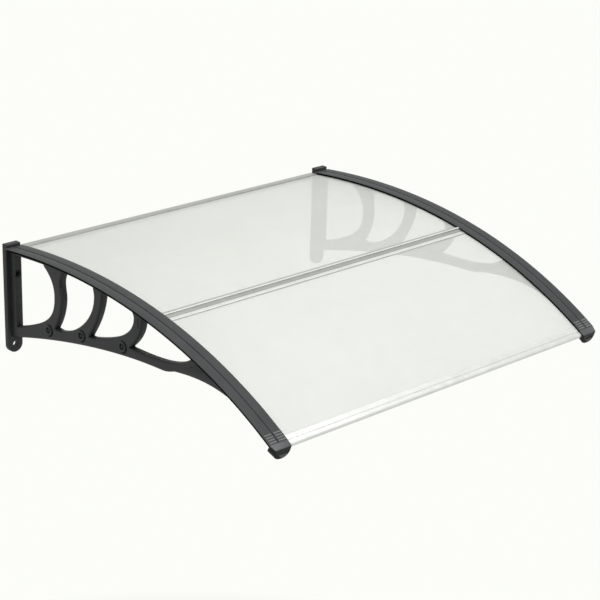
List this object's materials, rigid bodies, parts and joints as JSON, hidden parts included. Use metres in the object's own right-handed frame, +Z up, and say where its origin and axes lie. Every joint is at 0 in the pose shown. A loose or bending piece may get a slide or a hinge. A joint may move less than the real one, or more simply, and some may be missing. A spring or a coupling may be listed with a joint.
{
  "type": "door canopy",
  "caption": "Arched door canopy of clear polycarbonate panels clamped between curved side rails and cross bars, carried by scrolled wall brackets.",
  "frame": {"origin": "middle of the flat back of the rear cross bar, on the wall", "axes": "+X along the wall, +Y into the wall, +Z up; the canopy reaches out towards -Y"},
  "size_m": [1, 0.8977, 0.2606],
  "materials": {
    "bracket": "satin black-grey moulding",
    "rail_cover": "matte dark grey",
    "end_cap": "semi-gloss dark grey",
    "panel": "clear polycarbonate with a slight haze",
    "cross_bar": "satin extrusion",
    "seal": "matte",
    "screw": "satin"
  },
  "bodies": {
    "root": {"bracket_left": "bracket", "bracket_right": "bracket", "rail_cover_left": "rail_cover", "rail_cover_right": "rail_cover", "end_cap_left": "end_cap", "end_cap_right": "end_cap", "rear_panel": "panel", "front_panel": "panel", "rear_bar": "cross_bar", "middle_bar": "cross_bar", "front_bar": "cross_bar", "rear_edge_seal_left": "seal", "rear_edge_seal_right": "seal", "front_edge_seal_left": "seal", "front_edge_seal_right": "seal", "cover_screw_1_left": "screw", "cover_screw_1_right": "screw", "cover_screw_2_left": "screw", "cover_screw_2_right": "screw", "cover_screw_3_left": "screw", "cover_screw_3_right": "screw", "cover_screw_4_left": "screw", "cover_screw_4_right": "screw"}
  },
  "joints": []
}
